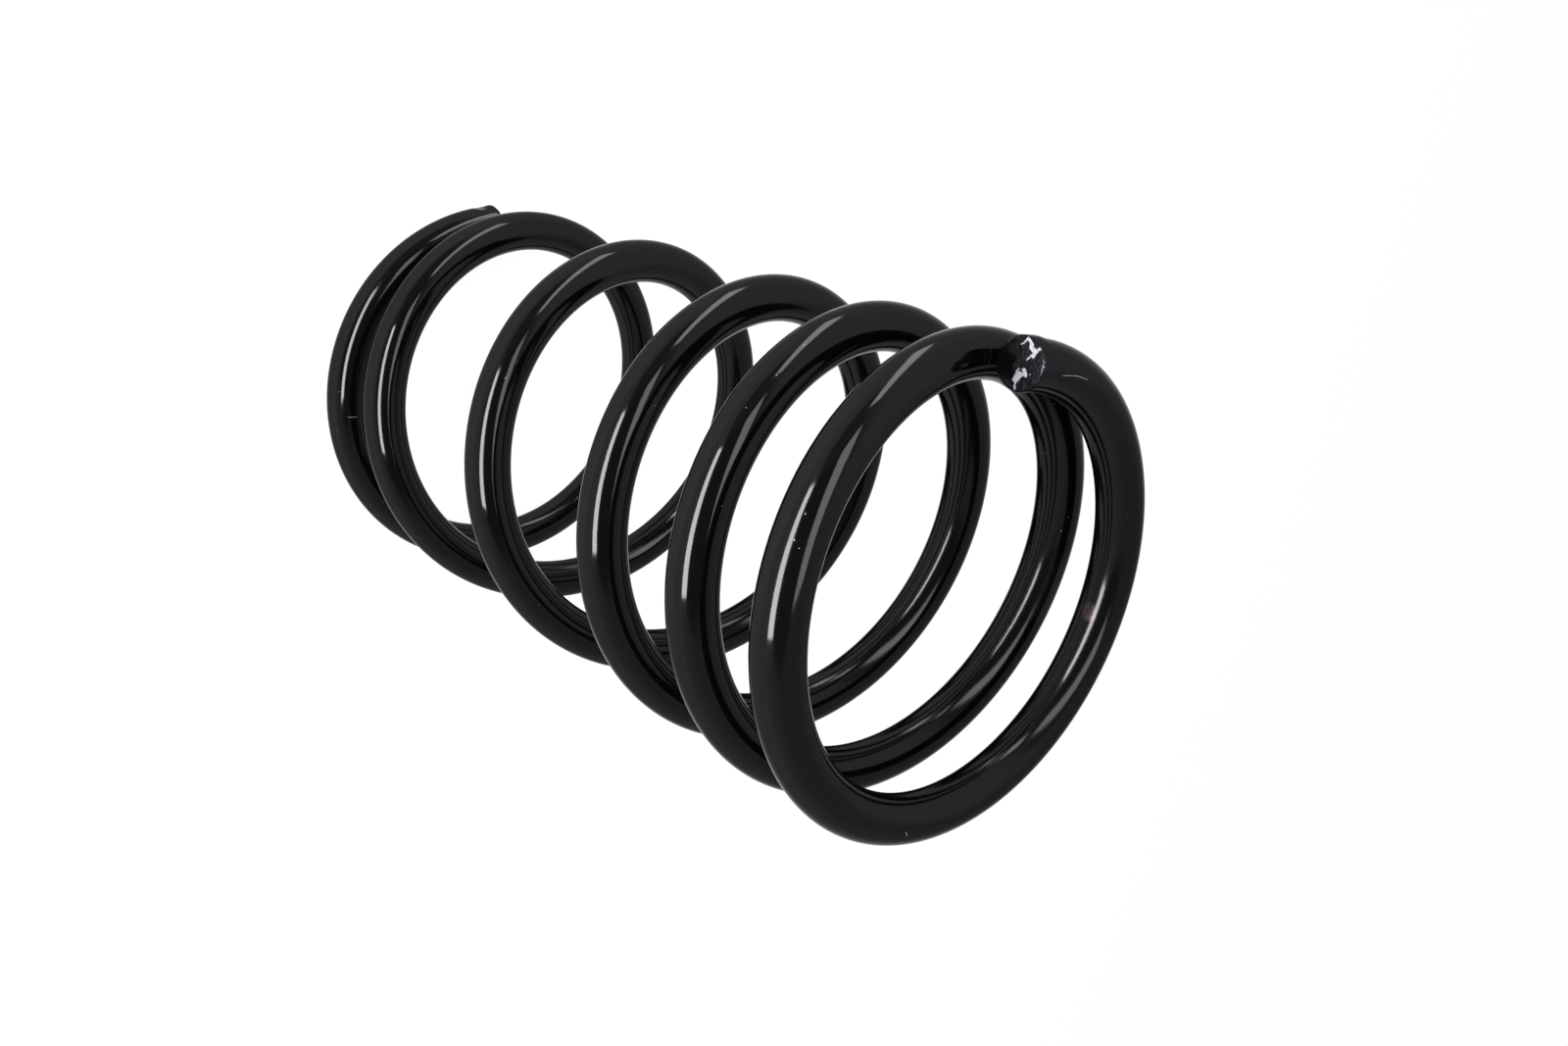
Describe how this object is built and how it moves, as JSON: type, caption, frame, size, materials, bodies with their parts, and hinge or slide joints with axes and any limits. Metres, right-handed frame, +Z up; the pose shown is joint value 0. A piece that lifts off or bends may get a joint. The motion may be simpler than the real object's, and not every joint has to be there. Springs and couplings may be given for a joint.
{
  "type": "suspension coil spring",
  "caption": "Helical compression spring wound from one round steel wire, with flat closed end turns and a spacing that widens from soft turns to stiff turns, in a gloss black coating.",
  "frame": {"origin": "on the coil's axis, in the plane that the lower end turn rests on", "axes": "+Z up along the coil's axis, +X towards the cut end of the lower turn"},
  "size_m": [0.1317, 0.131, 0.2393],
  "materials": {
    "black_coating": "gloss"
  },
  "bodies": {
    "root": {"coil_spring": "black_coating"}
  },
  "joints": []
}
